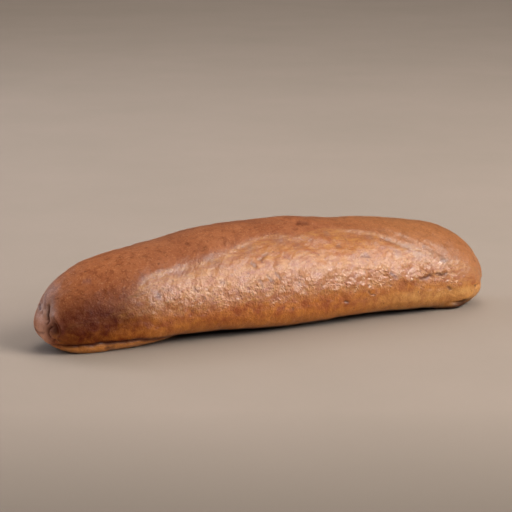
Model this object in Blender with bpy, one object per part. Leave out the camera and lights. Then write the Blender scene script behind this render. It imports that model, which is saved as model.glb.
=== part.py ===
"""A milk roll: one long soft roll, rolled up from a sheet of dough and baked to a glossy brown crust.

The roll lies along X with its pinched end at -X and its front at -Y, and rests on Z = 0.
Angles round the roll are in degrees: 0 at the back, 90 at the crest, 180 at the front, -90 and 270 underneath.
"""

import math

import bmesh
import bpy
from mathutils import Matrix, Vector, noise

MM = 0.001

# Driving sizes
LENGTH = 189.3 * MM
WIDTH = 50 * MM
HEIGHT = 39.8 * MM  # of the round dough, before it settles on the tray
SETTLED = 0.3 * MM  # how deep the tray flattens the underside
BELLY_LEVEL = 11.8 * MM  # height of the widest line
BOW = 6.2 * MM  # how far the tips come forward of the middle
CROWN_FULLNESS = 2.0  # section exponent above the belly, 2 is an ellipse
TUCK_FULLNESS = 3.3  # section exponent below it, at the middle
MEAN_RADIUS = 21 * MM  # turns angles into distances round the roll

# Each end: exponents of the rounding of plan and underside, loss of girth, its onset, level of the tip
NEAR_END = {"plan": (9.6, 2.55), "keel": (11, 2.5), "taper": 0.40, "onset": 1.8, "tip_level": 9.5 * MM}
FAR_END = {"plan": (10.0, 2.5), "keel": (11, 2.6), "taper": 0.27, "onset": 1.8, "tip_level": 8.6 * MM}

# Slow rises and hollows of the crest: place along X, height
CREST_SWELLS = (
    (-75 * MM, 0.9 * MM),
    (-57 * MM, -1 * MM),
    (-22 * MM, 0.65 * MM),
    (37 * MM, -0.9 * MM),
    (76 * MM, 0.1 * MM),
)
SWELL_REACH = 17 * MM
CREST_ANGLE = 80
CREST_SPREAD = 45

# Slow rises and hollows low on the front: place along X, reach, height
TUCKS = ((-34 * MM, 15 * MM, -1.2 * MM), (40 * MM, 9 * MM, -0.5 * MM))
TUCK_ANGLE = 222
TUCK_SPREAD = 24

# Underside of the front, which stands clear of the tray between its two feet: place along X, height of the hollow
HOLLOWS = (
    (-92 * MM, -0.8 * MM),
    (-80 * MM, -1.6 * MM),
    (-66 * MM, -0.9 * MM),
    (-52 * MM, 0.3 * MM),
    (-40 * MM, 1 * MM),
    (-28 * MM, 1 * MM),
    (-12 * MM, 0.8 * MM),
    (4 * MM, 0.2 * MM),
    (16 * MM, 0.3 * MM),
    (28 * MM, 1.2 * MM),
    (44 * MM, 0.7 * MM),
    (60 * MM, 0.7 * MM),
    (76 * MM, -1.2 * MM),
    (90 * MM, -0.4 * MM),
)
HOLLOW_PLACE = 0.62  # share of the half width where the hollow is highest
HOLLOW_WIDTH = 0.26

# Edges of the rolled-up sheet: step height and (place along X, angle) from end to end, high side on the left
WRAPS = (
    (0.5 * MM, ((28, 131), (16, 129), (7, 125), (0, 119), (-8, 121), (-18, 127), (-27, 133), (-57, 140), (-64, 152))),
    (0.6 * MM, ((82, 153), (68, 149), (58, 142), (42, 124), (32, 119), (22, 112), (14, 103), (0, 86), (-38, 34))),
    (0.4 * MM, ((74, 148), (63, 137), (54, 127), (44, 114), (30, 95))),
    (0.5 * MM, ((-80, 62), (-60, 50), (-35, 40), (-10, 28), (15, 12), (40, -2), (62, -8))),
    (0.4 * MM, ((18, 64), (38, 46), (56, 32), (76, 24))),
)
WRAP_SOFTNESS = 2.6 * MM  # width of the step's slope
WRAP_REACH = 12 * MM  # how far the raised side falls back to the round dough

# Foot where the last turn rests on the tray: place along X, reach and width of its front stretches
FRONT_FOOT = ((-80 * MM, 9 * MM, 0.7 * MM), (-66 * MM, 10 * MM, 0.4 * MM), (78 * MM, 6 * MM, 2.6 * MM))
PLAIN_FOOT = 0.15 * MM
FOOT_LEVEL = 3.4 * MM
FOOT_SLOPE = 2 * MM
GROOVE = {"start": -90 * MM, "end": -54 * MM, "fade": 8 * MM, "depth": 0.8 * MM, "level": 4.2 * MM, "width": 0.9 * MM}

# Flat where the roll touches the tray: its corners, how far its sides bow in, slope of the underside outside it
REST_CORNERS = ((-70 * MM, -8.5 * MM), (76 * MM, -8 * MM), (31 * MM, 10.5 * MM), (-30.5 * MM, 10.5 * MM))
REST_INSET = 0.3 * MM
REST_SLOPE = 0.03

# Marks on the ends, seen along X: height, width and (across, up) points of each
NEAR_MARKS = (
    (0.6 * MM, 3.6 * MM, ((-1, 10.5), (3, 11))),
    (-0.5 * MM, 1.1 * MM, ((6, 14.5), (2, 14.4), (-2, 14), (-4.5, 13.4))),
    (-1.0 * MM, 1.5 * MM, ((-4, 18), (-4.8, 16), (-5.8, 13.4))),
    (-0.8 * MM, 1.2 * MM, ((1.5, 18), (-1, 15.5))),
    (-0.8 * MM, 1.0 * MM, ((-7.8, 10.9), (-6.6, 9.9), (-6.2, 8.4), (-6.8, 6.9), (-8.8, 5.8))),
    (0.6 * MM, 1.0 * MM, ((-8.4, 15.2), (-10, 12.9), (-11, 10.6), (-11.3, 8.8), (-10.4, 7.2))),
    (-0.7 * MM, 1.0 * MM, ((-8.8, 12.8), (-9.8, 10.8), (-9.7, 9.4))),
)
FAR_MARKS = (
    (1.2 * MM, 4.5 * MM, ((-2, 11.5), (2, 12.5))),
    (0.5 * MM, 1.3 * MM, ((-3.5, 8), (-7, 11), (-6, 16.5), (0, 19.5), (6, 17.5), (9, 12), (7.5, 7))),
    (-0.5 * MM, 1.1 * MM, ((-9, 10), (-8.5, 16), (-3, 21), (4, 21.5))),
)
MARK_REACH = 17 * MM  # how far from the tip marks of an end can lie

# Ragged edge low at the front of the far end: height, width and (place along X, angle) points
FAR_RIM = (0.6 * MM, 1.2 * MM, ((79, 219), (82, 211), (84.5, 204), (85.5, 194), (86, 182), (85, 170)))
FAR_DENT = (-0.7 * MM, 1.3 * MM, ((87.5, 190), (88.5, 184)))

# Uneven dough: size and height of its bumps
DENT_SIZE = 17 * MM
DENT_HEIGHT = 0.5 * MM
WRINKLE_SIZE = 6 * MM
WRINKLE_HEIGHT = 0.2 * MM

# Mesh of the roll
COLUMNS = 62
RINGS = 94
FINE_STEPS = 1500
CRUST_COLOUR = (0.36, 0.125, 0.048, 1)
CRUST_ROUGHNESS = 0.38


def bell(offset, width):
    """1 at no offset, falling smoothly to nothing a few widths away."""
    return math.exp(-((offset / width) ** 2))


def smooth_step(value):
    """0 below 0, 1 above 1, and a soft ramp between."""
    value = min(max(value, 0), 1)
    return value * value * (3 - 2 * value)


def end_of(t):
    """The settings of the end that station t, from -1 to 1, belongs to."""
    return NEAR_END if t < 0 else FAR_END


def rounding(t, outline):
    """Share of a section that the rounded ends leave at station t, in plan or along the keel."""
    reach, bluntness = end_of(t)[outline]
    return max(1 - abs(t) ** reach, 0) ** (1 / bluntness)


def girth(t):
    """Share of the full width and height at station t."""
    return rounding(t, "plan") * (1 - end_of(t)["taper"] * abs(t) ** end_of(t)["onset"])


def spread(weight, count):
    """count + 1 places from 0 to 1 that share out the integral of weight evenly."""
    total = [0]
    for step in range(FINE_STEPS):
        total.append(total[-1] + weight((step + 0.5) / FINE_STEPS))
    places = []
    step = 0
    for index in range(count + 1):
        wanted = total[-1] * index / count
        while step < FINE_STEPS - 1 and total[step + 1] < wanted:
            step += 1
        part = (wanted - total[step]) / (total[step + 1] - total[step])
        places.append((step + part) / FINE_STEPS)
    return places


def ring_weight(place):
    """Length of the roll's outline per step along X, more near the pinched end."""
    t = 2 * place - 1
    half_step = 1 / FINE_STEPS
    rise = (girth(min(t + half_step, 1)) - girth(max(t - half_step, -1))) * HEIGHT / 2
    return math.hypot(LENGTH / FINE_STEPS, rise) * (1 + 0.8 * bell(t + 1, 0.12))


def column_weight(place):
    """More columns near the two lower edges, where the foot is."""
    angle = 360 * place
    return 1 + 1.6 * bell(angle - 216, 16) + 1.6 * bell(angle - 324, 16)


def bow_at(t):
    """Sideways place of the roll's middle line at station t."""
    return -BOW * (t * t - 0.4)


def level_at(t):
    """Height of the widest line at station t."""
    return BELLY_LEVEL + (end_of(t)["tip_level"] - BELLY_LEVEL) * t**4


def swell_at(t, angle):
    """Slow rise or hollow of the round dough at station t and angle."""
    along = t * LENGTH / 2
    crest = sum(high * bell(along - place, SWELL_REACH) for place, high in CREST_SWELLS)
    tuck = sum(high * bell(along - place, reach) for place, reach, high in TUCKS)
    swell = crest * bell(angle - CREST_ANGLE, CREST_SPREAD) + tuck * bell(angle - TUCK_ANGLE, TUCK_SPREAD)
    return swell * min(2 * girth(t), 1)


def steady_at(t):
    """1 along the roll, falling to 0 in the very tips."""
    return smooth_step(girth(t) / 0.25)


def hollow_at(along, across, depth):
    """Height of the hollow under the front at a place along X and shares of the half width and lower height."""
    height = HOLLOWS[0][1] if along < HOLLOWS[0][0] else HOLLOWS[-1][1]
    for (start, first), (end, last) in zip(HOLLOWS, HOLLOWS[1:]):
        if start <= along < end:
            height = first + (last - first) * smooth_step((along - start) / (end - start))
    return height * bell(across - HOLLOW_PLACE, HOLLOW_WIDTH) * min(3 * depth, 1)


def smooth_form(t, angle):
    """Point of the plain round dough at station t and angle."""
    cos, sin = math.cos(math.radians(angle)), math.sin(math.radians(angle))
    fullness = CROWN_FULLNESS if sin >= 0 else TUCK_FULLNESS
    reach = (abs(cos) ** fullness + abs(sin) ** fullness) ** (-1 / fullness)
    rise = (HEIGHT - BELLY_LEVEL) * girth(t) if sin >= 0 else level_at(t) * rounding(t, "keel")
    swell = swell_at(t, angle)
    across = cos * (WIDTH / 2 * girth(t) * reach + swell)
    up = sin * (rise * reach + swell)
    if sin < 0 and cos < 0:
        up += hollow_at(t * LENGTH / 2, -cos * reach, -sin * reach) * steady_at(t)
    return Vector((t * LENGTH / 2, bow_at(t) + across, level_at(t) + up))


def line_offset(across, up, points):
    """Distance from a line of points, positive on its left, and the share of the line passed there."""
    nearest, share = math.inf, 0
    for index, (start, end) in enumerate(zip(points, points[1:])):
        run, rise = end[0] - start[0], end[1] - start[1]
        part = ((across - start[0]) * run + (up - start[1]) * rise) / (run * run + rise * rise)
        part = min(max(part, 0), 1)
        aside, above = across - start[0] - part * run, up - start[1] - part * rise
        distance = math.hypot(aside, above)
        if distance < abs(nearest):
            nearest = math.copysign(distance, run * above - rise * aside)
            share = (index + part) / (len(points) - 1)
    return nearest, share


def side_line(points):
    """Points of (millimetres along X, angle) as distances along X and round the roll."""
    return [(along * MM, math.radians(angle) * MEAN_RADIUS) for along, angle in points]


def end_line(points):
    """Points in millimetres as distances."""
    return [(across * MM, up * MM) for across, up in points]


def wrap_relief(along, around):
    """Low steps where edges of the rolled-up sheet lie on the turn below."""
    total = 0
    for height, points in WRAPS:
        offset, share = line_offset(along, around, side_line(points))
        fade = smooth_step(min(share, 1 - share) / 0.15)
        raised = smooth_step(offset / WRAP_SOFTNESS + 0.5)
        total += height * fade * raised * bell(max(offset, 0), WRAP_REACH)
    return total


def mark_relief(across, up, mark, line):
    """Ridge or crease along a short line."""
    height, width, points = mark
    offset, share = line_offset(across, up, line(points))
    return height * bell(offset, width)


def end_relief(point):
    """Creases, lips and hollows of the two pinched ends."""
    depth = LENGTH / 2 - abs(point.x)
    if depth > MARK_REACH:
        return 0
    across = point.y - bow_at(2 * point.x / LENGTH)
    marks = NEAR_MARKS if point.x < 0 else FAR_MARKS
    relief = sum(mark_relief(across, point.z, mark, end_line) for mark in marks)
    return relief * smooth_step((MARK_REACH - depth) / (4 * MM))


def rim_relief(along, around):
    """Ragged edge of the last turn, low at the front of the far end."""
    if along < 60 * MM:
        return 0
    return mark_relief(along, around, FAR_RIM, side_line) + mark_relief(along, around, FAR_DENT, side_line)


def groove_relief(point):
    """Crease above the foot at the front of the near end."""
    if point.y > bow_at(2 * point.x / LENGTH):
        return 0
    fade = smooth_step((point.x - GROOVE["start"]) / GROOVE["fade"] + 1)
    fade *= smooth_step((GROOVE["end"] - point.x) / GROOVE["fade"] + 1)
    level = GROOVE["level"] + 0.5 * MM * noise.noise(point / (9 * MM))
    return -GROOVE["depth"] * fade * bell(point.z - level, GROOVE["width"])


def foot_step(point, level):
    """How a point low on the dough moves out to the foot, level with the tray."""
    step = level * PLAIN_FOOT
    if point.y < bow_at(2 * point.x / LENGTH):
        step.y -= sum(high * bell(point.x - along, reach) for along, reach, high in FRONT_FOOT)
    edge = FOOT_LEVEL + 0.6 * MM * noise.noise(point / (8 * MM))
    return step * smooth_step((edge - point.z) / FOOT_SLOPE)


def uneven_relief(point):
    """Slow dents and finer wrinkles of the baked dough."""
    dents = noise.noise(point / DENT_SIZE + Vector((3, 1, 7)))
    wrinkles = noise.fractal(point / WRINKLE_SIZE, 1.0, 2.0, 2)
    return DENT_HEIGHT * dents + WRINKLE_HEIGHT * wrinkles


def outward(t, angle):
    """Unit direction away from the dough at station t and angle."""
    step = 0.004
    inner = max(min(t, 1 - 2 * step), -1 + 2 * step)
    along = smooth_form(inner + step, angle) - smooth_form(inner - step, angle)
    around = smooth_form(inner, angle + 1) - smooth_form(inner, angle - 1)
    return around.cross(along).normalized()


def crust_point(t, angle):
    """Point of the baked crust at station t and angle."""
    point = smooth_form(t, angle)
    turned = angle - 360 if angle > 270 else angle
    around = math.radians(turned) * MEAN_RADIUS
    steady = steady_at(t)
    relief = wrap_relief(point.x, around) + rim_relief(point.x, around) + groove_relief(point)
    relief = relief * steady + end_relief(point) + uneven_relief(point)
    if abs(t) > 1 - 1e-6:
        return point + Vector((math.copysign(relief, t), 0, 0))
    away = outward(t, angle)
    level = Vector((away.x, away.y, 0))
    foot = foot_step(point, level.normalized()) * steady * smooth_step(level.length / 0.4)
    return point + away * relief + foot


def shape_sphere(mesh):
    """Moves every point of a unit sphere with its poles on X onto the crust."""
    stations = spread(ring_weight, RINGS)
    angles = spread(column_weight, COLUMNS)
    for vert in mesh.verts:
        ring = round(math.acos(max(min(-vert.co.x, 1), -1)) / math.pi * RINGS)
        column = round((math.atan2(vert.co.z, vert.co.y) / (2 * math.pi)) % 1 * COLUMNS) % COLUMNS
        vert.co = crust_point(2 * stations[ring] - 1, 360 * angles[column])


def beyond_rest(place, sides):
    """How far a place on the tray lies outside the flat where the roll touches it."""
    outside = 0
    for start, end in sides:
        run = (end - start).normalized()
        outside = max(outside, (place - start).dot(Vector((run.y, -run.x))) + REST_INSET)
    return outside


def settle(mesh):
    """Flattens the underside on the tray, level between the corners of its flat and rising slightly outside."""
    low = [vert for vert in mesh.verts if vert.co.z < SETTLED]
    touching = [min(low, key=lambda vert: (vert.co.xy - Vector(corner)).length) for corner in REST_CORNERS]
    sides = [(start.co.xy, end.co.xy) for start, end in zip(touching, touching[1:] + touching[:1])]
    for vert in mesh.verts:
        rise = 0 if vert in touching else REST_SLOPE * beyond_rest(vert.co.xy, sides)
        vert.co.z = max(vert.co.z - SETTLED, rise)


def centre_on_base(mesh):
    """Puts the middle of the base of the bounding box at the origin."""
    for axis in range(2):
        low = min(vert.co[axis] for vert in mesh.verts)
        high = max(vert.co[axis] for vert in mesh.verts)
        for vert in mesh.verts:
            vert.co[axis] -= (low + high) / 2


def crust_material():
    """Brown glossy crust."""
    material = bpy.data.materials.new("baked_crust")
    material.use_nodes = True
    shader = material.node_tree.nodes["Principled BSDF"]
    shader.inputs["Base Color"].default_value = CRUST_COLOUR
    shader.inputs["Roughness"].default_value = CRUST_ROUGHNESS
    shader.inputs["Metallic"].default_value = 0
    return material


def make_roll(collection):
    """The whole roll, one closed solid."""
    mesh = bmesh.new()
    bmesh.ops.create_uvsphere(
        mesh, u_segments=COLUMNS, v_segments=RINGS, radius=1, matrix=Matrix.Rotation(math.pi / 2, 4, "Y")
    )
    shape_sphere(mesh)
    settle(mesh)
    centre_on_base(mesh)
    bmesh.ops.recalc_face_normals(mesh, faces=mesh.faces[:])
    data = bpy.data.meshes.new("milk_roll")
    mesh.to_mesh(data)
    mesh.free()
    data.shade_smooth()
    data.materials.append(crust_material())
    roll = bpy.data.objects.new("milk_roll", data)
    collection.objects.link(roll)
    return roll


def main():
    for old in list(bpy.data.objects):
        bpy.data.objects.remove(old)
    collection = bpy.data.collections.new("milk_roll")
    bpy.context.scene.collection.children.link(collection)
    make_roll(collection)


main()
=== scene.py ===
import math

import bmesh
import bpy
from mathutils import Matrix, Vector, noise


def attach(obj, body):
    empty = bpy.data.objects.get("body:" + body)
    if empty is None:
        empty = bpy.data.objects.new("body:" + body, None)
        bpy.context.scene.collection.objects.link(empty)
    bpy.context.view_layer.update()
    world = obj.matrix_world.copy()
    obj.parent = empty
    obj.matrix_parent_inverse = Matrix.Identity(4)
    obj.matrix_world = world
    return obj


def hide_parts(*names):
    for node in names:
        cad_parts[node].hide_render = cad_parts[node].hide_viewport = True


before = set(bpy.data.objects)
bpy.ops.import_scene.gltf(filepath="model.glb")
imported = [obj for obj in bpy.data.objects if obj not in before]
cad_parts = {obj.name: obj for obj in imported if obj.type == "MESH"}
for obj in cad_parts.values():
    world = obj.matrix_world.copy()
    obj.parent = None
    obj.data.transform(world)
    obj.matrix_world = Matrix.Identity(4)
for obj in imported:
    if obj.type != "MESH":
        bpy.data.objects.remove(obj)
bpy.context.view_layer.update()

mm = 0.001
noise.seed_set(1)  # the crumples come out the same each run

# The dough's form repeats the driving sizes of the CAD part, so the crust lies on its solid. Angles round the
# roll are in degrees: 0 at the back, 90 at the crest, 180 at the front, -90 and 270 underneath.
dough = {
    "length": 189.3 * mm,
    "width": 50 * mm,
    "height": 39.8 * mm,  # before it settles on the tray
    "settled": 0.3 * mm,
    "bellyLevel": 11.8 * mm,
    "bow": 6.2 * mm,  # the tips come forward of the middle
    "bowShift": 0.4,  # share of the bow by which the middle goes back
    "crownFullness": 2.0,
    "tuckFullness": 3.3,
    "meanRadius": 21 * mm,
    "centre": Vector((0.164, 2.425, 0)) * mm,  # of the bounding box, in the form's own place
    "nearEnd": {"plan": (9.6, 2.55), "keel": (11, 2.5), "taper": 0.40, "onset": 1.8, "tipLevel": 9.5 * mm},
    "farEnd": {"plan": (10.0, 2.5), "keel": (11, 2.6), "taper": 0.27, "onset": 1.8, "tipLevel": 8.6 * mm},
    "tipOnset": 4,
    "crestSwells": ((-75, 0.9), (-57, -1), (-22, 0.65), (37, -0.9), (76, 0.1)),  # place, height in mm
    "swellReach": 17 * mm,
    "swellFade": 2,
    "crestAngle": 80,
    "crestSpread": 45,
    "tucks": ((-34, 15, -1.2), (40, 9, -0.5)),  # place, reach, height in mm
    "tuckAngle": 222,
    "tuckSpread": 24,
    "hollows": (  # under the front, which stands clear of the tray between its two feet: place, height in mm
        (-92, -0.8), (-80, -1.6), (-66, -0.9), (-52, 0.3), (-40, 1), (-28, 1), (-12, 0.8),
        (4, 0.2), (16, 0.3), (28, 1.2), (44, 0.7), (60, 0.7), (76, -1.2), (90, -0.4),
    ),
    "hollowPlace": 0.62,
    "hollowWidth": 0.26,
    "hollowFade": 3,
    "restCorners": ((-70.4, -9.3), (75.1, -7.9), (31.3, 10), (-31.2, 9.9)),  # of the flat on the tray, in mm
    "restInset": 0.3 * mm,
    "restSlope": 0.03,
    "steadyGirth": 0.25,  # thinner than this, the relief of the sides fades out
    "rings": 428,
    "ringStep": 0.0005,
    "nearRings": (0.9, 0.12),  # how much closer they are at the near tip, and how far that goes
    "columns": 224,
    "closerColumns": ((160, 42, 1.4), (220, 22, 0.8)),  # angle, reach, how much closer
}


def bell(offset, width):
    return math.exp(-((offset / width) ** 2))


def smoothStep(value):
    value = min(max(value, 0), 1)
    return value * value * (3 - 2 * value)


def endOf(t):
    return dough["nearEnd"] if t < 0 else dough["farEnd"]


def rounding(t, outline):
    reach, bluntness = endOf(t)[outline]
    return max(1 - abs(t) ** reach, 0) ** (1 / bluntness)


def girth(t):
    return rounding(t, "plan") * (1 - endOf(t)["taper"] * abs(t) ** endOf(t)["onset"])


def bowAt(t):
    return -dough["bow"] * (t * t - dough["bowShift"])


def levelAt(t):
    return dough["bellyLevel"] + (endOf(t)["tipLevel"] - dough["bellyLevel"]) * t ** dough["tipOnset"]


def swellAt(t, angle):
    along = t * dough["length"] / 2
    reachOfSwell = dough["swellReach"]
    crest = sum(high * mm * bell(along - place * mm, reachOfSwell) for place, high in dough["crestSwells"])
    tuck = sum(high * mm * bell(along - place * mm, reach * mm) for place, reach, high in dough["tucks"])
    crest *= bell(angle - dough["crestAngle"], dough["crestSpread"])
    tuck *= bell(angle - dough["tuckAngle"], dough["tuckSpread"])
    return (crest + tuck) * min(dough["swellFade"] * girth(t), 1)


# Straight or eased course through a table of (place, value)
def between(value, table, ease=lambda part: part):
    for (start, first), (end, last) in zip(table, table[1:]):
        if start <= value <= end:
            return first + (last - first) * ease((value - start) / (end - start))
    return table[0][1] if value < table[0][0] else table[-1][1]


def steadyAt(t):
    return smoothStep(girth(t) / dough["steadyGirth"])


def hollowAt(t, across, depth):
    height = between(t * dough["length"] / 2 / mm, dough["hollows"], smoothStep) * mm * steadyAt(t)
    height *= bell(across - dough["hollowPlace"], dough["hollowWidth"])
    return height * min(dough["hollowFade"] * depth, 1)


def smoothForm(t, angle):
    cos, sin = math.cos(math.radians(angle)), math.sin(math.radians(angle))
    fullness = dough["crownFullness"] if sin >= 0 else dough["tuckFullness"]
    reach = (abs(cos) ** fullness + abs(sin) ** fullness) ** (-1 / fullness)
    crown = (dough["height"] - dough["bellyLevel"]) * girth(t)
    rise = crown if sin >= 0 else levelAt(t) * rounding(t, "keel")
    swell = swellAt(t, angle)
    across = cos * (dough["width"] / 2 * girth(t) * reach + swell)
    up = sin * (rise * reach + swell)
    if sin < 0 and cos < 0:
        up += hollowAt(t, -cos * reach, -sin * reach)
    return Vector((t * dough["length"] / 2, bowAt(t) + across, levelAt(t) + up))


# Places from 0 to 1 that share out the integral of a weight evenly
def spread(weight, count, fineSteps=4000):
    total = [0]
    for step in range(fineSteps):
        total.append(total[-1] + weight((step + 0.5) / fineSteps))
    places, step = [], 0
    for index in range(count + 1):
        wanted = total[-1] * index / count
        while step < fineSteps - 1 and total[step + 1] < wanted:
            step += 1
        part = (wanted - total[step]) / (total[step + 1] - total[step])
        places.append((step + part) / fineSteps)
    return places


def ringWeight(place):
    t = 2 * place - 1
    step = dough["ringStep"]
    rise = (girth(min(t + step, 1)) - girth(max(t - step, -1))) * dough["height"] / 2
    closer, reach = dough["nearRings"]
    return math.hypot(dough["length"] * step, rise) * (1 + closer * bell(t + 1, reach))


def columnWeight(place):
    weight = 1
    for angle, reach, closer in dough["closerColumns"]:
        weight += closer * bell(360 * place - angle, reach)
    return weight


# Everything that stands on or cuts into the smooth dough. Side lines are (mm along X, angle) points,
# end lines are (mm across, mm up) points of an end seen along X, heights and widths are in mm.
relief = {
    "wraps": (
        (0.5, (
            (28, 131), (16, 129), (7, 125), (0, 119), (-8, 121),
            (-18, 127), (-27, 133), (-57, 140), (-64, 152),
        )),
        (0.6, (
            (82, 153), (68, 149), (58, 142), (42, 124), (32, 119),
            (22, 112), (14, 103), (0, 86), (-38, 34),
        )),
        (0.4, ((74, 148), (63, 137), (54, 127), (44, 114), (30, 95))),
        (0.5, ((-80, 62), (-60, 50), (-35, 40), (-10, 28), (15, 12), (40, -2), (62, -8))),
        (0.4, ((18, 64), (38, 46), (56, 32), (76, 24))),
    ),
    "wrapSoftness": 2.6,
    "wrapReach": 12,
    "wrapFade": 0.15,  # share of the line over which each of its ends fades
    "nearMarks": (
        (0.6, 3.6, ((-1, 10.5), (3, 11))),
        (-0.5, 1.1, ((6, 14.5), (2, 14.4), (-2, 14), (-4.5, 13.4))),
        (-1.0, 1.5, ((-4, 18), (-4.8, 16), (-5.8, 13.4))),
        (-0.8, 1.2, ((1.5, 18), (-1, 15.5))),
        (-0.8, 1.0, ((-7.8, 10.9), (-6.6, 9.9), (-6.2, 8.4), (-6.8, 6.9), (-8.8, 5.8))),
        (0.6, 1.0, ((-8.4, 15.2), (-10, 12.9), (-11, 10.6), (-11.3, 8.8), (-10.4, 7.2))),
        (-0.7, 1.0, ((-8.8, 12.8), (-9.8, 10.8), (-9.7, 9.4))),
    ),
    "farMarks": (
        (1.2, 4.5, ((-2, 11.5), (2, 12.5))),
        (0.5, 1.3, ((-3.5, 8), (-7, 11), (-6, 16.5), (0, 19.5), (6, 17.5), (9, 12), (7.5, 7))),
        (-0.5, 1.1, ((-9, 10), (-8.5, 16), (-3, 21), (4, 21.5))),
    ),
    "markReach": 17,
    "markFade": 4,
    "farRim": (
        (0.3, 1.2, ((79, 219), (82, 211), (84.5, 204), (85.5, 194), (86, 182), (85, 170))),
        (-0.5, 1.3, ((87.5, 190), (88.5, 184))),
    ),
    "frontFoot": ((-80, 9, 0.7), (-66, 10, 0.4), (78, 6, 2.6)),  # place, reach, width of the step
    "plainFoot": 0.15,
    "footLevel": 3.4,
    "footSlope": 2,
    "footTurn": 0.4,  # fades out where the crust faces straight down
    "footWaves": ((8, 0.6), (2, 0.3)),  # size and height of the ragged edge's waves
    "groove": {"start": -88, "end": -42, "fade": 6, "depth": 1.1, "width": 0.6},
    "grooveLevel": ((-88, 3.9), (-72, 4.1), (-60, 3.5), (-50, 3), (-40, 2.5)),  # place, height over the tray
    "grooveWaves": ((9, 0.5), (2.5, 0.4)),
    "dentSize": 17,
    "dentHeight": 0.5,
    "dentPlace": Vector((3, 1, 7)),  # where in the noise the dents are read
    "wrinkleSize": 6,
    "wrinkleHeight": 0.2,
}


# Signed distance from a line of points, positive on its left, and the share of the line passed there
def lineOffset(across, up, points):
    nearest, share = math.inf, 0
    for index, (start, end) in enumerate(zip(points, points[1:])):
        run, rise = end[0] - start[0], end[1] - start[1]
        part = ((across - start[0]) * run + (up - start[1]) * rise) / (run * run + rise * rise)
        part = min(max(part, 0), 1)
        aside, above = across - start[0] - part * run, up - start[1] - part * rise
        distance = math.hypot(aside, above)
        if distance < abs(nearest):
            nearest = math.copysign(distance, run * above - rise * aside)
            share = (index + part) / (len(points) - 1)
    return nearest, share


# Way round the roll in mm that an angle stands for
def aroundAt(angle):
    return math.radians(angle) * dough["meanRadius"] / mm


def sideLine(points):
    return [(along, aroundAt(angle)) for along, angle in points]


# A mark is height, width, line and the box outside which it is nothing
def prepare(marks, line=lambda points: points):
    ready = []
    for height, width, points in marks:
        points = line(points)
        low = [min(point[axis] for point in points) - 3 * width for axis in (0, 1)]
        high = [max(point[axis] for point in points) + 3 * width for axis in (0, 1)]
        ready.append((height, width, points, low, high))
    return ready


def markSum(marks, across, up):
    total = 0
    for height, width, points, low, high in marks:
        if low[0] < across < high[0] and low[1] < up < high[1]:
            total += height * bell(lineOffset(across, up, points)[0], width)
    return total


wrapLines = [(height, sideLine(points)) for height, points in relief["wraps"]]
nearMarks = prepare(relief["nearMarks"])
farMarks = prepare(relief["farMarks"])
farRim = prepare(relief["farRim"], sideLine)


def wrapRelief(along, around):
    total = 0
    for height, points in wrapLines:
        offset, share = lineOffset(along, around, points)
        fade = smoothStep(min(share, 1 - share) / relief["wrapFade"])
        raised = smoothStep(offset / relief["wrapSoftness"] + 0.5)
        total += height * fade * raised * bell(max(offset, 0), relief["wrapReach"])
    return total


def waves(point, sizes):
    return sum(height * noise.noise(point / (size * mm)) for size, height in sizes)


def acrossOf(point):
    return point.y - bowAt(2 * point.x / dough["length"])


def grooveHeight(point):
    return between(point.x / mm, relief["grooveLevel"]) + waves(point, relief["grooveWaves"])


def grooveRelief(point):
    if acrossOf(point) > 0:
        return 0
    groove = relief["groove"]
    fade = smoothStep((point.x / mm - groove["start"]) / groove["fade"] + 1)
    fade *= smoothStep((groove["end"] - point.x / mm) / groove["fade"] + 1)
    return -groove["depth"] * fade * bell(point.z / mm - grooveHeight(point), groove["width"])


def footStep(point, level):
    step = level * relief["plainFoot"]
    if acrossOf(point) < 0:
        step.y -= sum(wide * bell(point.x / mm - along, reach) for along, reach, wide in relief["frontFoot"])
    edge = relief["footLevel"] + waves(point, relief["footWaves"])
    return step * smoothStep((edge - point.z / mm) / relief["footSlope"]) * mm


def unevenRelief(point):
    dents = noise.noise(point / (relief["dentSize"] * mm) + relief["dentPlace"])
    wrinkles = noise.fractal(point / (relief["wrinkleSize"] * mm), 1.0, 2.0, 2)
    return relief["dentHeight"] * dents + relief["wrinkleHeight"] * wrinkles


def endRelief(point, marksOfEnd):
    depth = (dough["length"] / 2 - abs(point.x)) / mm
    if depth > relief["markReach"]:
        return 0
    marked = markSum(marksOfEnd, acrossOf(point) / mm, point.z / mm)
    return marked * smoothStep((relief["markReach"] - depth) / relief["markFade"])


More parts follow.
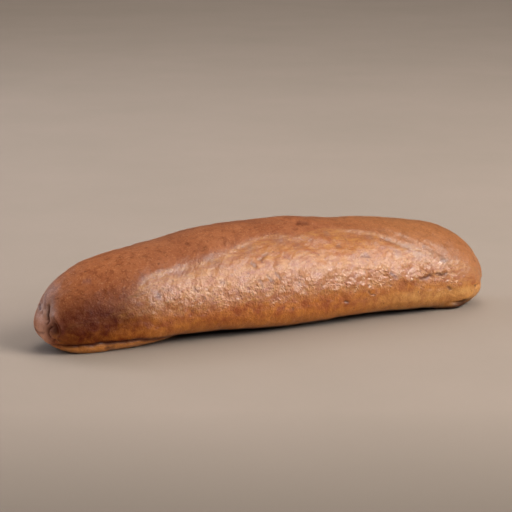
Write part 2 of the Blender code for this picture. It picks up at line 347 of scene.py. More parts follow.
# Fine crust marks that only the look needs: same units as above
crust = {
    "lozengeTop": (
        (-75, 170), (-66, 156), (-62, 150), (-57, 139), (-40, 136), (-27, 133), (-18, 127), (-8, 121),
        (0, 119), (7, 123), (14, 121), (22, 114), (32, 118), (42, 124), (50, 132), (58, 141), (68, 149),
        (82, 154), (92, 160),
    ),
    "creases": (
        (-0.22, 0.5, ((-51.6, 152.8), (-50, 155), (-48.2, 156.2))),
        (-0.16, 0.4, ((-66, 156), (-61, 155), (-57, 153.6))),
        (-0.25, 0.6, ((-53.9, 157.5), (-53.2, 159.5))),
        (-0.2, 0.6, ((-39, 158.6), (-37.6, 159.4))),
        (-0.2, 0.7, ((-36.5, 112), (-36.1, 114.5))),
        (-0.2, 0.8, ((-54.6, 115), (-53.8, 116.5))),
        (-0.3, 0.55, ((-14.3, 143.5), (-13, 147))),
        (-0.2, 0.5, ((-10.5, 141.5), (-8.6, 139), (-6, 136.5))),
        (-0.25, 0.5, ((-5.2, 154.5), (-3.6, 159))),
        (-0.25, 0.5, ((-8.9, 155), (-7.5, 160))),
        (-0.25, 0.5, ((-12.5, 159), (-11.6, 163))),
        (-0.2, 0.6, ((-28.4, 155.6), (-27.4, 156.4))),
        (-0.22, 0.9, ((11.5, 108), (13.6, 105.5), (16.4, 106.5))),
        (-0.2, 0.6, ((23.6, 137), (25.2, 136.2))),
        (-0.2, 0.6, ((33.2, 146.5), (36, 148))),
        (-0.3, 0.55, ((44.6, 163.6), (45.8, 166), (47.4, 167.5))),
        (-0.35, 0.5, ((57.4, 169.4), (58.4, 170.6), (60.6, 169.4), (62.8, 167.4))),
        (-0.3, 0.55, ((65.8, 166.6), (68, 167.4), (70.4, 166.4))),
        (-0.35, 0.8, ((71.6, 181), (72.6, 185.5))),
        (-0.3, 0.8, ((24, 188), (24.8, 191))),
        (-0.3, 0.5, ((34.4, 178.4), (35.6, 181.5), (37, 182.6))),
        (-0.2, 0.5, ((69, 152.6), (71, 154.4))),
        (-0.4, 0.8, ((86.4, 183.5), (87.2, 188))),
        (-0.15, 0.7, ((-81.4, 121.6), (-80.6, 124))),
        (-0.15, 0.7, ((44.4, 129.6), (50, 137), (55, 141))),
    ),
    "flakes": (
        (0.3, 0.8, ((56, 167), (58.6, 168.8), (61, 167.2), (63.4, 165.4))),
        (0.28, 0.8, ((49.5, 167.5), (52, 171), (54.5, 172), (56.6, 170.8))),
        (0.25, 0.8, ((43.4, 163), (44.8, 165.6), (46.6, 168.4))),
        (0.25, 0.8, ((64.6, 164.6), (67.2, 166), (70.2, 164.6), (72, 163))),
        (0.25, 0.9, ((36, 176.4), (33.6, 178.2), (34.8, 181))),
        (0.2, 0.8, ((14, 170), (18, 172.5), (23, 171.5))),
        (0.2, 0.8, ((26, 170.5), (30, 171.8), (34, 170.6))),
        (0.2, 0.7, ((44, 116.5), (50, 121.5), (55, 128), (60, 135), (66, 143))),
        (0.15, 0.7, ((60, 136.5), (64, 142), (69, 147.5))),
        (0.15, 0.6, ((28, 116.6), (34, 118.8), (40, 121.4))),
    ),
    "fissures": (  # of the near end, (across, up) as the near marks
        (-0.9, 0.45, ((-4.6, 16.4), (-4.8, 15.2), (-5.5, 14.0))),
        (-0.6, 0.4, ((-3.8, 18.2), (-4.5, 17.0))),
        (-0.6, 0.45, ((3.0, 17.2), (1.1, 15.9))),
        (-0.5, 0.4, ((-1.0, 15.9), (-1.6, 14.9))),
        (-0.6, 0.45, ((-5.6, 13.6), (-6.3, 12.9), (-6.0, 12.0))),
        (-0.5, 0.45, ((-7.8, 10.9), (-6.6, 9.9), (-6.2, 8.4), (-6.8, 6.9))),
        (0.35, 0.5, ((-8.6, 14.9), (-10, 12.9), (-10.9, 10.6), (-11.1, 8.8), (-10.3, 7.3))),
        (-0.5, 0.6, ((-9.4, 12.2), (-10.1, 10.8), (-10.2, 9.4))),
        (-0.4, 0.6, ((-8.6, 6.0), (-7.8, 5.2))),
        (-0.4, 0.6, ((-8.8, 3.9), (-8.0, 3.4))),
        (-0.25, 0.5, ((1, 21), (-1.5, 19), (-2.6, 17))),
        (-0.25, 0.5, ((5, 20), (3.4, 18.4))),
        (-0.3, 0.6, ((2.5, 8), (-1, 7.6), (-4, 8.2))),
    ),
    "farFissures": (
        (-0.6, 0.5, ((-2, 14.5), (0, 13), (2.5, 13.4))),
        (-0.5, 0.5, ((0, 13), (0.4, 10.5))),
        (-0.4, 0.5, ((-4, 11), (-3, 8.5))),
        (-0.4, 0.5, ((3.5, 16), (4.5, 12.5))),
    ),
    "raggedness": 0.5,  # how far the fine lines stray
    "raggedSize": 1.6,
    "raggedPlace": Vector((5, 9, 2)),
    "cutShade": {"side": 3.2, "tip": 2, "groove": 1.1},  # how fast a cut's painted shade darkens as the cut gets deeper
    "crumpleMiddle": ((-60, 159), (-30, 163), (0, 165), (60, 165), (90, 168)),  # place, angle of the band
    "crumpleSpread": 10,
    "crumpleStray": 4,
    "crumpleStrength": ((-66, 0), (-50, 0.6), (-30, 0.65), (0, 1), (72, 1), (88, 0)),  # place, share
    "crumpleHeight": 0.1,
    "crumpleSize": 2.8,
    "crumpleSlant": 0.35,
    "crumpleSquash": 0.9,
    "crumbSize": 1.1,
    "crumbShare": 0.5,
    # where the painted shade of the crumples' low spots begins
    "valleyShadeStart": 0.25,
    "bendSize": 5,
    "bendReach": 3,
    "tearSize": 2.2,
    "tearReach": 1.3,
    "clumpSize": 5,
    "clumpPlace": Vector((2, 8, 4)),
    "clumpContrast": 1.6,
    "betweenClumps": 0.2,
    "blisterHeight": 0.1,
    "blisterSize": 2.6,
    "foldHeight": 0.06,
    "foldSize": 2.6,
    "foldStretch": 0.25,
    "foldSlant": 0.2,
    "foldPlace": 3,
    "knots": (  # bluish grey spots in the pale dough: along, angle, radius
        (0.6, 125.7, 2.2), (-41.7, 141, 2.4), (-44, 141.5, 2.0), (48.8, 147, 1.8), (58.3, 148.5, 2.4),
        (55, 143, 1.6), (-53.4, 158.4, 1.8), (-30, 134, 2.2), (-13, 130, 2.0), (35, 147, 1.5), (7, 133, 1.4),
        (40, 128, 1.6), (-58, 141, 2.4), (22, 121, 1.4), (-78, 123, 1.6), (70, 153, 2.0),
    ),
    "knotTear": 0.9,
    "knotTearSize": 1.2,
    "knotSquash": 1.3,
    "patchSize": 7,
    "limits": {  # where a kind of crust starts and where it is full, and how far patches move that
        "front": (0, 22, 0),  # degrees under the top of the lozenge
        "frontUnder": (275, 255, 0),
        "lozenge": (-2, 2, 1.5),
        "lozengeFoot": (180, 172, -4),
        # grey bloom on the near tip, partly a real film and partly painted sheen
        "bloomAndSheenDepth": (9, 4, -3),  # mm from the tip
        "bloomAndSheenLevel": (10.5, 15.5, 2),
        "bloomAndSheenTop": (22.5, 17.5, -2),
        "bloomAndSheenFront": (-10.5, -6.5, 0),
        "bloomAndSheenBack": (8, 2, -3),
        "ledgeNear": (-92, -86, 0),
        "ledgeFar": (-38, -44, 0),
        "ledgeLevel": (-0.2, -1, 0),  # mm over the groove
        "base": (3.2, 1.2, -1),
        "gold": (14, 66, 0),
        "goldUnder": (172, 192, 0),
        # painted light: the far part of the top is painted paler and yellower
        "paintedLightFarTop": (10, 60, 0),
        "rim": (-62, -50, 0),
        "rimUnder": (180, 192, 0),
        # dark crumbs and painted contact shadow low at the far foot
        "crumbsAndShadow": (4.6, 3.4, -1),
        "dull": (-48, -70, 0),
        "lip": (20, 14, 0),
        "under": (0.82, 0.96, 0),  # how straight down the crust faces, for the painted shade underneath
    },
    "bloomAndSheenOverTop": 0.35,
    # deep browning of the near end's lower front, partly painted shade where less light falls
    "deepBrownAndShadeSpots": ((1.3, -82, 23, 180, 36), (0.2, -58, 22, 184, 20)),  # share, place, reach, angle, reach
    "deepOverGroove": (0.55, -76, 24, 2.5, 3.5),  # share, place, reach, height over the groove, reach
    "grooveShade": (0.5, 1.1),  # painted shade in the groove under the overhanging crust: height over the groove, reach
    "rimLine": (4.6, 2.2),  # height over the tray, reach
    "crumbsAndShadowSpot": (80, 7),  # dark crumbs and painted contact shadow at the far foot: place, reach
    "lipSpot": (-3, 8.5, 0.6, 4.5),  # across, up, squash, reach
}
creases = prepare(crust["creases"], sideLine)
flakes = prepare(crust["flakes"], sideLine)
fissures = prepare(crust["fissures"])
farFissures = prepare(crust["farFissures"])


# From 0 to 1 as a value goes from one limit to the other
def reached(value, name, patch=0):
    start, full, stray = crust["limits"][name]
    return smoothStep((value + stray * patch - start) / (full - start))


# How strongly a point belongs to each kind of crust and to each painted shade, sheen or light, all from 0 to
# 1
def crustZones(point, along, angle):
    patch = noise.fractal(point / (crust["patchSize"] * mm), 1.0, 2.0, 3)
    across, up = acrossOf(point) / mm, point.z / mm
    depth = (dough["length"] / 2 + point.x) / mm
    overGroove = up - grooveHeight(point)
    inFront = across < 0

    belowTop = angle - between(along, crust["lozengeTop"])
    lozenge = reached(belowTop, "lozenge", patch) * reached(angle, "lozengeFoot", patch)
    offBand = angle - between(along, crust["crumpleMiddle"]) - crust["crumpleStray"] * patch
    crumple = bell(offBand, crust["crumpleSpread"]) * between(along, crust["crumpleStrength"], smoothStep)

    # grey bloom on the near tip, partly a real film and partly painted sheen
    bloomAndSheen = reached(depth, "bloomAndSheenDepth", patch) * reached(up, "bloomAndSheenLevel", patch)
    bloomAndSheen *= crust["bloomAndSheenOverTop"] + (1 - crust["bloomAndSheenOverTop"]) * reached(up, "bloomAndSheenTop", patch)
    bloomAndSheen *= reached(across, "bloomAndSheenFront") * reached(across, "bloomAndSheenBack", patch)
    lipAcross, lipUp, squash, reach = crust["lipSpot"]
    lip = bell(math.hypot(across - lipAcross, (up - lipUp) * squash), reach) * reached(depth, "lip")

    # deep browning, partly painted shade, on the near end's lower front and above the groove
    deepBrownAndShade = 0
    for share, place, reach, side, width in crust["deepBrownAndShadeSpots"]:
        deepBrownAndShade = max(deepBrownAndShade, min(share * bell(along - place, reach) * bell(angle - side, width), 1))
    share, place, reach, height, width = crust["deepOverGroove"]
    if inFront:
        deepBrownAndShade = max(deepBrownAndShade, share * bell(overGroove - height, width) * bell(along - place, reach))
    ledge = reached(along, "ledgeFar") * reached(along, "ledgeNear") if inFront else 0
    foot = ledge * reached(overGroove, "ledgeLevel")
    # painted shade in the groove under the overhanging crust
    height, width = crust["grooveShade"]
    groove = ledge * bell(overGroove - height, width)

    height, width = crust["rimLine"]
    rim = bell(up - height, width) * reached(angle, "rimUnder") * reached(along, "rim")
    # dark crumbs and painted contact shadow at the far foot
    place, reach = crust["crumbsAndShadowSpot"]
    crumbsAndShadow = bell(along - place, reach) * reached(up, "crumbsAndShadow", patch) if inFront else 0
    return {
        "front": reached(belowTop, "front") * reached(angle, "frontUnder"),
        "lozenge": lozenge,
        "crumple": crumple,
        "bloomAndSheen": bloomAndSheen,
        "deepBrownAndShade": deepBrownAndShade,
        "foot": foot,
        "base": reached(up, "base", patch),
        "gold": reached(along, "gold") * reached(angle, "goldUnder"),
        # painted light on the far top
        "paintedLightFarTop": reached(along, "paintedLightFarTop"),
        "dull": max(reached(along, "dull") * (1 - max(foot, bloomAndSheen)), crumbsAndShadow),
        "rim": rim,
        "crumbsAndShadow": crumbsAndShadow,
        "lip": lip,
        "groove": groove,
    }


def creased(place, octaves=2):
    return 1 - 2 * abs(noise.fractal(place, 1.0, 2.1, octaves))


def bendAt(point):
    return noise.noise(point / (crust["bendSize"] * mm)) * crust["bendReach"]


def crumpleRelief(point, along, around, strength):
    bend = bendAt(point)
    torn = noise.noise_vector(point / (crust["tearSize"] * mm)) * crust["tearReach"]
    aside = along + crust["crumpleSlant"] * around + bend
    slant = Vector((aside, crust["crumpleSquash"] * around + bend, bend / 2)) + torn
    clumps = noise.noise(point / (crust["clumpSize"] * mm) + crust["clumpPlace"])
    clump = smoothStep(crust["clumpContrast"] * clumps + 0.5)
    crumbs = crust["crumbShare"] * noise.noise(slant / crust["crumbSize"])
    crumple = crust["crumpleHeight"] * (creased(slant / crust["crumpleSize"]) + crumbs)
    return crumple * strength * (crust["betweenClumps"] + (1 - crust["betweenClumps"]) * clump)


def fineRelief(point, along, around, lozenge):
    blister = crust["blisterHeight"] * noise.fractal(point / (crust["blisterSize"] * mm), 1.0, 2.0, 2)
    aside = around + crust["foldSlant"] * along + bendAt(point)
    stretch = Vector((along * crust["foldStretch"], aside, crust["foldPlace"]))
    return blister + lozenge * crust["foldHeight"] * creased(stretch / crust["foldSize"])


# A place on the skin, strayed a little so that fine lines come out ragged
def strayed(point, along, around):
    finely = point / (crust["raggedSize"] * mm)
    along += crust["raggedness"] * noise.noise(finely)
    around += crust["raggedness"] * noise.noise(finely + crust["raggedPlace"])
    return along, around


def knotAt(point, along, angle):
    torn = 1 + crust["knotTear"] * noise.noise(point / (crust["knotTearSize"] * mm))
    knot = 0
    for place, knotAngle, radius in crust["knots"]:
        if abs(along - place) < 3 * radius:
            aside = aroundAt(angle - knotAngle) * crust["knotSquash"]
            knot = max(knot, bell(math.hypot(along - place, aside) * torn, radius))
    return knot


def restRise(place):
    outside = 0
    corners = [Vector(corner) * mm for corner in dough["restCorners"]]
    for start, end in zip(corners, corners[1:] + corners[:1]):
        run = (end - start).normalized()
        outside = max(outside, (place - start).dot(Vector((run.y, -run.x))) + dough["restInset"])
    return dough["restSlope"] * outside


print("shaping the crust")
stations = spread(ringWeight, dough["rings"])
angles = spread(columnWeight, dough["columns"])
crustMesh = bmesh.new()
bmesh.ops.create_uvsphere(
    crustMesh,
    u_segments=dough["columns"],
    v_segments=dough["rings"],
    radius=1,
    matrix=Matrix.Rotation(math.pi / 2, 4, "Y"),
)
places = []
for vert in crustMesh.verts:
    ring = round(math.acos(max(min(-vert.co.x, 1), -1)) / math.pi * dough["rings"])
    turn = (math.atan2(vert.co.z, vert.co.y) / (2 * math.pi)) % 1
    column = round(turn * dough["columns"]) % dough["columns"]
    places.append((2 * stations[ring] - 1, 360 * angles[column]))
for vert, (t, angle) in zip(crustMesh.verts, places):
    vert.co = smoothForm(t, angle)
bmesh.ops.recalc_face_normals(crustMesh, faces=crustMesh.faces[:])
crustMesh.normal_update()

zoneNames = (
    "front", "lozenge", "crumple", "bloomAndSheen", "deepBrownAndShade", "foot", "base", "gold", "paintedLightFarTop",
    "dull", "rim", "crumbsAndShadow", "lip", "groove", "under", "valleyShade", "crease", "knot",
)
zoneValues = {name: [] for name in zoneNames}
moved = []
skinPlaces = []
cutShadeRate = crust["cutShade"]
for vert, (t, angle) in zip(crustMesh.verts, places):
    point = vert.co.copy()
    angle = angle - 360 if angle > 270 else angle
    along, around = point.x / mm, aroundAt(angle)
    steady = steadyAt(t)
    zones = crustZones(point, along, angle)

    ragged = strayed(point, along, around)
    cuts = markSum(creases, *ragged)
    groove = grooveRelief(point)
    crumple = crumpleRelief(point, along, around, zones["crumple"])
    side = wrapRelief(along, around) + markSum(farRim, along, around) + groove
    side += cuts + markSum(flakes, *ragged) + crumple + fineRelief(point, along, around, zones["lozenge"])
    nearSide = point.x < 0
    tipCuts = endRelief(point, fissures if nearSide else farFissures)
    tip = endRelief(point, nearMarks if nearSide else farMarks) + tipCuts
    height = (side * steady + tip + unevenRelief(point)) * mm
    level = Vector((vert.normal.x, vert.normal.y, 0))
    foot = footStep(point, level.normalized()) * steady * smoothStep(level.length / relief["footTurn"])
    moved.append(point + vert.normal * height + foot)

    # painted shade in cuts, tip fissures and the groove, darker the deeper they go
    deepest = max(-cuts * steady * cutShadeRate["side"], -tipCuts * cutShadeRate["tip"], -groove * cutShadeRate["groove"], 0)
    zones["crease"] = min(deepest, 1)
    # painted shade in the low spots of the crumples
    zones["valleyShade"] = smoothStep(-crumple / crust["crumpleHeight"] + crust["valleyShadeStart"])
    # painted shade: crust that faces down is painted near black
    zones["under"] = reached(-vert.normal.z, "under")
    zones["knot"] = knotAt(point, along, angle)
    for name in zoneNames:
        zoneValues[name].append(zones[name])
    skinPlaces += [along, around, 0]
for vert, place in zip(crustMesh.verts, moved):
    vert.co = place
    vert.co.z = max(vert.co.z - dough["settled"], restRise(place.xy))
    vert.co -= dough["centre"]
bmesh.ops.recalc_face_normals(crustMesh, faces=crustMesh.faces[:])

crustData = bpy.data.meshes.new("crust")
crustMesh.to_mesh(crustData)
crustMesh.free()
crustData.shade_smooth()
for name in zoneNames:
    layer = crustData.attributes.new(name, "FLOAT", "POINT")
    layer.data.foreach_set("value", zoneValues[name])
crustData.attributes.new("skin", "FLOAT_VECTOR", "POINT").data.foreach_set("vector", skinPlaces)
crustPiece = bpy.data.objects.new("crust", crustData)
bpy.context.scene.collection.objects.link(crustPiece)
print("crust has", len(crustData.polygons) * 2, "triangles")


def linearColour(hexText):
    parts = [int(hexText[place : place + 2], 16) / 255 for place in (0, 2, 4)]
    linear = [part / 12.92 if part <= 0.04045 else ((part + 0.055) / 1.055) ** 2.4 for part in parts]
    return (*linear, 1)


# Pattern scale of a node on Object coordinates for features of that size
def perMetre(sizeInMm):
    return 1000 / sizeInMm


# Each setting is one of the node's own, or a value or link for one of its inputs
def setUp(tree, node, settings):
    for name, value in settings.items():
        if isinstance(name, str) and hasattr(node, name):
            setattr(node, name, value)
        elif isinstance(value, bpy.types.NodeSocket):
            tree.links.new(value, node.inputs[name])
        else:
            node.inputs[name].default_value = value
    return node


def addNode(tree, kind, settings):
    return setUp(tree, tree.nodes.new(kind), settings)


glaze = {
    "colours": {
        "toasted": "9a5a38",
        "tan": "ab6a44",
        "dark": "743a1e",
        "fleck": "cf9568",
        "umber": "964618",
        "gold": "c67a30",
        # golden crust, also used for the painted light on the far top
        "farGold": "d2a05c",
        # dark brown, used for real browning and for painted shade
        "deepBrownAndShade": "4c1204",
        "stretched": "ab6e45",
        "streak": "cf9a58",
        "foot": "ca8034",
        # dark crumbs and painted contact shadow
        "crumbsAndShadow": "33160f",
        # grey bloom, partly painted sheen
        "bloomAndSheen": "b4958c",
        "lip": "dca68e",
        "knot": "7e6468",
        # painted shade of cuts and pits
        "crease": "501c0c",
        "base": "6a3a20",
        # painted shade of the underside
        "under": "34180c",
        "rim": "c98440",
    },
    "patterns": {  # size in mm, detail, roughness, and the part of the noise that is spread from 0 to 1
        "broad": (14, 2, 0.5, 0.35, 0.65),
        "mottle": (3.4, 3, 0.6, 0.36, 0.64),
        "grain": (0.9, 2, 0.7, 0.3, 0.7),
        "leather": (2, 3, 0.65, 0.4, 0.62),
        "blots": (3, 4, 0.75, 0.48, 0.64),
        "flecks": (0.7, 2, 0.6, 0.56, 0.7),
        "singe": (5.5, 2, 0.5, 0.53, 0.66),
        "darkGrain": (0.8, 2, 0.6, 0.56, 0.74),
        # painted shade of small pits, a colour pattern only
        "pitShade": (2.1, 1, 0.5, 0.71, 0.78),
        "uneven": (3.5, 2, 0.5, 0.44, 0.6),
        "fineBump": (0.7, 3, 0.65, 0, 1),
        "softBump": (2.6, 2, 0.5, 0, 1),
    },
    "streaks": {
        "turn": 8, "stretch": (0.22, 1, 1), "size": 1.5, "detail": 3, "rough": 0.6, "wave": 1.2,
        "low": 0.42, "high": 0.66,
    },
    "bubbles": {"turn": -25, "stretch": (0.9, 1, 1), "size": 1.05, "warp": 3, "warpScale": 0.55, "rim": 0.9},
    "coats": {  # ground of each, then its layers: where, share or how the mottle moves it, colour
        "backCrust": ("toasted", (
            (("broad",), 1, "tan"),
            (("leather",), 0.5, "tan"),
            (("blots",), 0.6, "dark"),
            (("flecks",), 0.5, "fleck"),
            # painted light on the far top
            (("paintedLightFarTop",), 0.16, "farGold"),
        )),
        "frontCrust": ("umber", (
            (("mottle",), 1, "gold"),
            (("grain",), 0.3, "gold"),
        )),
        "wholeCrust": ("backCrust", (
            (("front",), 1, "frontCrust"),
        )),
        "stretchedCrust": ("wholeCrust", (
            ((), 0.55, "stretched"),
            (("streaks",), 0.7, "streak"),
        )),
        "bakedCrust": ("wholeCrust", (
            (("lozenge",), (0.55, 0.9), "stretchedCrust"),
            # painted shade: the crumples' low spots darker orange
            (("valleyShade", "crumple"), 0.55, "umber"),
            (("gold",), (0.35, 0.8), "farGold"),
            # deep browning, partly painted shade
            (("deepBrownAndShade",), (0.95, 0.7), "deepBrownAndShade"),
            (("rim",), 0.5, "rim"),
            (("base",), 0.8, "base"),
            # painted shade underneath
            (("under",), 0.9, "under"),
            # dark crumbs and painted contact shadow
            (("crumbsAndShadow",), 0.9, "crumbsAndShadow"),
            # painted shade in the groove
            (("groove",), 0.75, "deepBrownAndShade"),
            (("foot",), 1, "foot"),
            (("foot", "singe"), 0.7, "deepBrownAndShade"),
            # grey bloom, partly painted sheen
            (("bloomAndSheen",), (0.5, 0.85), "bloomAndSheen"),
            (("lip",), 0.8, "lip"),
            (("knot",), 0.32, "knot"),
            (("darkGrain",), 0.3, "deepBrownAndShade"),
            # painted shade of small pits
            (("pitShade",), 0.5, "crease"),
            # painted shade in the cuts
            (("crease",), 0.75, "crease"),
        )),
    },
    "roughness": 0.44,
    "ior": 1.45,
    "thinCoat": 0.35,
    "coatOn": (("lozenge", 0.6), ("crumple", 1), ("foot", 1)),
    "coatRoughness": 0.18,
    "crumpleRoughness": 0.08,
    "crumpleRoughFull": 0.8,
    "specular": 0.3,
    "dullSpecular": 0.1,
    "dullCoat": 0.1,
    "bubblesOn": (("crumple", 0.12), ("uneven", 0.1)),  # where they show, and their share elsewhere
    "bumps": (("fineBump", 0.24), ("softBump", 0.3), ("bubbles", 0.46)),  # depth in mm
}


# Milk-bread crust, brushed with egg before baking: a thin uneven gloss over a mottled, finely wrinkled skin.
# Its colour also holds painted shade in cuts, pits, crumple valleys, the groove, the near end's lower front,
# the far foot and underneath, and painted sheen and light on the near tip and far top
def makeGlazedCrust():
    material = bpy.data.materials.new("eggGlazedMilkBreadCrust")
    material.use_nodes = True
    tree = material.node_tree
    place = addNode(tree, "ShaderNodeTexCoord", {}).outputs["Object"]
    skin = addNode(tree, "ShaderNodeAttribute", {"attribute_name": "skin"}).outputs["Vector"]
    cover = {}
    for name in zoneNames:
        cover[name] = addNode(tree, "ShaderNodeAttribute", {"attribute_name": name}).outputs["Fac"]
    for name, (size, detail, rough, low, high) in glaze["patterns"].items():
        settings = {"Vector": place, "Scale": perMetre(size), "Detail": detail, "Roughness": rough}
        cloudy = addNode(tree, "ShaderNodeTexNoise", settings).outputs["Fac"]
        settings = {"Value": cloudy, "From Min": low, "From Max": high}
        cover[name] = addNode(tree, "ShaderNodeMapRange", settings).outputs["Result"]

    turned = {}
    for name in ("streaks", "bubbles"):
        turn = (0, 0, math.radians(glaze[name]["turn"]))
        settings = {"Vector": skin, "Rotation": turn, "Scale": glaze[name]["stretch"]}
        turned[name] = addNode(tree, "ShaderNodeMapping", settings).outputs["Vector"]
    streaks = glaze["streaks"]
    settings = {"Vector": turned["streaks"], "Scale": 1 / streaks["size"], "Detail": streaks["detail"]}
    settings |= {"Roughness": streaks["rough"], "Distortion": streaks["wave"]}
    wavy = addNode(tree, "ShaderNodeTexNoise", settings).outputs["Fac"]
    settings = {"Value": wavy, "From Min": streaks["low"], "From Max": streaks["high"]}
    cover["streaks"] = addNode(tree, "ShaderNodeMapRange", settings).outputs["Result"]

    colours = {name: linearColour(hexText) for name, hexText in glaze["colours"].items()}
    for coat, (ground, layers) in glaze["coats"].items():
        colour = colours[ground]
        for where, share, name in layers:
            if isinstance(share, tuple):
                settings = {"Value": cover["mottle"], "To Min": share[0], "To Max": share[1]}
                share = addNode(tree, "ShaderNodeMapRange", settings).outputs["Result"]
            for part in where:
                settings = {"operation": "MULTIPLY", 0: cover[part], 1: share}
                share = addNode(tree, "ShaderNodeMath", settings).outputs[0]
            settings = {"data_type": "RGBA", 0: share, 6: colour, 7: colours[name]}
            colour = addNode(tree, "ShaderNodeMix", settings).outputs[2]
        colours[coat] = colour

    bubbles = glaze["bubbles"]
    settings = {"Vector": skin, "Scale": bubbles["warpScale"], "Detail": 2}
    shifts = addNode(tree, "ShaderNodeTexNoise", settings).outputs["Color"]
    settings = {"operation": "SCALE", 0: shifts, "Scale": bubbles["warp"]}
    shifts = addNode(tree, "ShaderNodeVectorMath", settings).outputs[0]
    settings = {"operation": "ADD", 0: turned["bubbles"], 1: shifts}
    shifted = addNode(tree, "ShaderNodeVectorMath", settings).outputs[0]
    settings = {"Vector": shifted, "Scale": 1 / bubbles["size"]}
    distance = addNode(tree, "ShaderNodeTexVoronoi", settings).outputs["Distance"]
    settings = {"Value": distance, "From Max": bubbles["rim"], "To Min": 1, "To Max": 0}
    height = addNode(tree, "ShaderNodeMapRange", settings).outputs["Result"]
    for name, least in glaze["bubblesOn"]:
        share = addNode(tree, "ShaderNodeMapRange", {"Value": cover[name], "To Min": least}).outputs["Result"]
        height = addNode(tree, "ShaderNodeMath", {"operation": "MULTIPLY", 0: height, 1: share}).outputs[0]
    cover["bubbles"] = height
    bumped = {}
    for name, depth in glaze["bumps"]:
        settings = {"Height": cover[name], "Strength": 1, "Distance": depth * mm, **bumped}
        bumped = {"Normal": addNode(tree, "ShaderNodeBump", settings).outputs["Normal"]}

    coat = glaze["thinCoat"]
    for name, full in glaze["coatOn"]:
        settings = {"Value": cover[name], "To Min": coat, "To Max": full}
        coat = addNode(tree, "ShaderNodeMapRange", settings).outputs["Result"]
    settings = {"Value": cover["dull"], "To Min": 1, "To Max": glaze["dullCoat"]}
    dulled = addNode(tree, "ShaderNodeMapRange", settings).outputs["Result"]
    coat = addNode(tree, "ShaderNodeMath", {"operation": "MULTIPLY", 0: coat, 1: dulled}).outputs[0]
    settings = {"Value": cover["dull"], "To Min": glaze["specular"], "To Max": glaze["dullSpecular"]}
    specular = addNode(tree, "ShaderNodeMapRange", settings).outputs["Result"]
    settings = {"Value": cover["crumple"], "From Max": glaze["crumpleRoughFull"]}
    settings |= {"To Min": glaze["coatRoughness"], "To Max": glaze["crumpleRoughness"]}
    coatRoughness = addNode(tree, "ShaderNodeMapRange", settings).outputs["Result"]

    settings = {
        "Base Color": colours["bakedCrust"],
        "Roughness": glaze["roughness"],
        "IOR": glaze["ior"],
        "Specular IOR Level": specular,
        "Coat Weight": coat,
        "Coat Roughness": coatRoughness,
        "Normal": bumped["Normal"],
        "Coat Normal": bumped["Normal"],
    }
    setUp(tree, tree.nodes["Principled BSDF"], settings)
    return material


crustData.materials.append(makeGlazedCrust())
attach(crustPiece, "root")
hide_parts("milk_roll")
print("crust glazed")

floor = {
    "size": 9,
    "colours": ("786f65", "847970"),
    "paintedShadeColour": "60584f",
    "paintedShadeFrom": -0.12,  # metres towards the camera, where the painted shade begins
    "paintedShadeTo": -0.22,
    "cloudSize": 120,
    "cloudDetail": 5,
    "cloudRoughness": 0.6,
    "roughness": 0.9,
}
studio = {
    "fill": "dcd6d0",
    "fillStrength": 0.08,
    "lights": {  # azimuth right of the front, distance, level, panel's width and height, power, colour, aim
        "frontSoftbox": (42, 1.0, 0.7, 0.9, 1.0, 15, "fff4ea", 0),
        "hotStrip": (23, 1.0, 0.47, 1.0, 0.045, 12.5, "fff8f0", 0),
        "overheadFill": (90, 0.2, 1.1, 1.0, 1.0, 5.4, "fff4ea", 0),
        "leftFill": (-95, 0.9, 0.36, 0.6, 0.6, 2.4, "fff8f6", 0),
        "backSoftbox": (-150, 0.9, 0.5, 0.5, 0.5, 3, "f2f4ff", 0),
        "backdropPanel": (153.36, 1.8, 2.0, 1.5, 1.5, 37, "fff6ee", 1.8),
    },
    "aimHeight": 0.02,
    "softened": "frontSoftbox",
    "softening": 36,  # evens out the power that the panel's dim edges lose
    "floorOnly": "backdropPanel",  # this light falls on the floor alone
    "mattOnly": ("overheadFill", "leftFill"),  # these lights give no gloss
    "glossOnly": "hotStrip",  # and this one nothing else
    "cameraAzimuth": 26.64,  # left of the front
    "cameraElevation": 12.44,
    "cameraDistance": 0.7,
    "cameraAim": Vector((-2.54, 0.02, 25.59)) * mm,
    "focalLength": 126.06,
    "sensorWidth": 36,
    "clip": (0.01, 50),
}

floorMesh = bmesh.new()
bmesh.ops.create_grid(floorMesh, x_segments=2, y_segments=2, size=floor["size"] / 2)
floorData = bpy.data.meshes.new("floor")
floorMesh.to_mesh(floorData)
floorMesh.free()
floorPiece = bpy.data.objects.new("floor", floorData)
bpy.context.scene.collection.objects.link(floorPiece)


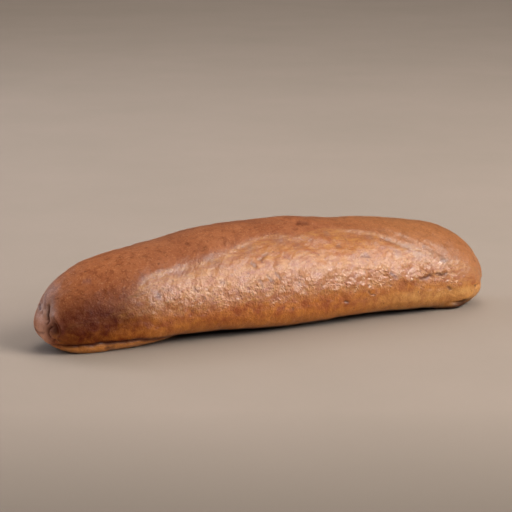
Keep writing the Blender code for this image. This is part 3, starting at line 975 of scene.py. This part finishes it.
# Matt painted board, plain and pale, with a faint cloudy wash and painted shade darkening it towards the
# camera side
def makeFloorPaint():
    material = bpy.data.materials.new("mattPaintedBoard")
    material.use_nodes = True
    tree = material.node_tree
    place = addNode(tree, "ShaderNodeTexCoord", {}).outputs["Object"]
    settings = {"Vector": place, "Scale": perMetre(floor["cloudSize"])}
    settings |= {"Detail": floor["cloudDetail"], "Roughness": floor["cloudRoughness"]}
    cloud = addNode(tree, "ShaderNodeTexNoise", settings).outputs["Fac"]
    pale, paler = [linearColour(hexText) for hexText in floor["colours"]]
    settings = {"data_type": "RGBA", 0: cloud, 6: pale, 7: paler}
    washed = addNode(tree, "ShaderNodeMix", settings).outputs[2]
    # painted shade of the lights' falloff, darker towards the camera side
    settings = {"Vector": place, "Rotation": (0, 0, math.radians(studio["cameraAzimuth"]))}
    turned = addNode(tree, "ShaderNodeMapping", settings).outputs["Vector"]
    towards = addNode(tree, "ShaderNodeSeparateXYZ", {"Vector": turned}).outputs["Y"]
    settings = {"Value": towards, "From Min": floor["paintedShadeFrom"], "From Max": floor["paintedShadeTo"]}
    shade = addNode(tree, "ShaderNodeMapRange", settings).outputs["Result"]
    settings = {"data_type": "RGBA", 0: shade, 6: washed, 7: linearColour(floor["paintedShadeColour"])}
    colour = addNode(tree, "ShaderNodeMix", settings).outputs[2]
    setUp(tree, tree.nodes["Principled BSDF"], {"Base Color": colour, "Roughness": floor["roughness"]})
    return material


floorData.materials.append(makeFloorPaint())

world = bpy.data.worlds.new("studioFill")
bpy.context.scene.world = world
world.use_nodes = True
sky = {"Color": linearColour(studio["fill"]), "Strength": studio["fillStrength"]}
setUp(world.node_tree, world.node_tree.nodes["Background"], sky)


def fromAround(azimuth, elevation, distance):
    side, rise = math.radians(azimuth), math.radians(elevation)
    level = math.cos(rise)
    return Vector((math.sin(side) * level, -math.cos(side) * level, math.sin(rise))) * distance


# Brighter in the middle of the panel than at its edges, as cloth over a lamp is
def softenPanel(lightData):
    lightData.use_nodes = True
    tree = lightData.node_tree
    panelPlace = addNode(tree, "ShaderNodeNewGeometry", {}).outputs["Parametric"]
    sides = addNode(tree, "ShaderNodeSeparateXYZ", {"Vector": panelPlace}).outputs
    level = studio["softening"]
    for side in (sides["X"], sides["Y"]):
        rest = addNode(tree, "ShaderNodeMath", {"operation": "SUBTRACT", 0: 1, 1: side}).outputs[0]
        for factor in (side, rest):
            settings = {"operation": "MULTIPLY", 0: factor, 1: level}
            level = addNode(tree, "ShaderNodeMath", settings).outputs[0]
    tree.links.new(level, tree.nodes["Emission"].inputs["Strength"])


for name, (azimuth, distance, middle, width, height, power, colour, aim) in studio["lights"].items():
    lightData = bpy.data.lights.new(name, "AREA")
    lightData.shape = "RECTANGLE"
    lightData.size = width
    lightData.size_y = height
    lightData.energy = power
    lightData.color = linearColour(colour)[:3]
    light = bpy.data.objects.new(name, lightData)
    bpy.context.scene.collection.objects.link(light)
    light.location = fromAround(azimuth, 0, distance) + Vector((0, 0, middle))
    light.visible_glossy = name not in studio["mattOnly"]
    light.visible_diffuse = name != studio["glossOnly"]
    if name == studio["softened"]:
        softenPanel(lightData)
    if name == studio["floorOnly"]:
        floorGroup = bpy.data.collections.new("floorGroup")
        floorGroup.objects.link(floorPiece)
        light.light_linking.receiver_collection = floorGroup
    target = fromAround(azimuth, 0, aim) + Vector((0, 0, studio["aimHeight"]))
    light.rotation_euler = (light.location - target).to_track_quat("Z", "Y").to_euler()

cameraData = bpy.data.cameras.new("photoCamera")
cameraData.lens = studio["focalLength"]
cameraData.sensor_width = studio["sensorWidth"]
cameraData.clip_start, cameraData.clip_end = studio["clip"]
camera = bpy.data.objects.new("photoCamera", cameraData)
bpy.context.scene.collection.objects.link(camera)
bpy.context.scene.camera = camera
backward = fromAround(-studio["cameraAzimuth"], studio["cameraElevation"], 1)
camera.location = studio["cameraAim"] + backward * studio["cameraDistance"]
camera.rotation_euler = backward.to_track_quat("Z", "Y").to_euler()
bpy.context.scene.view_settings.view_transform = "Standard"
print("studio set")
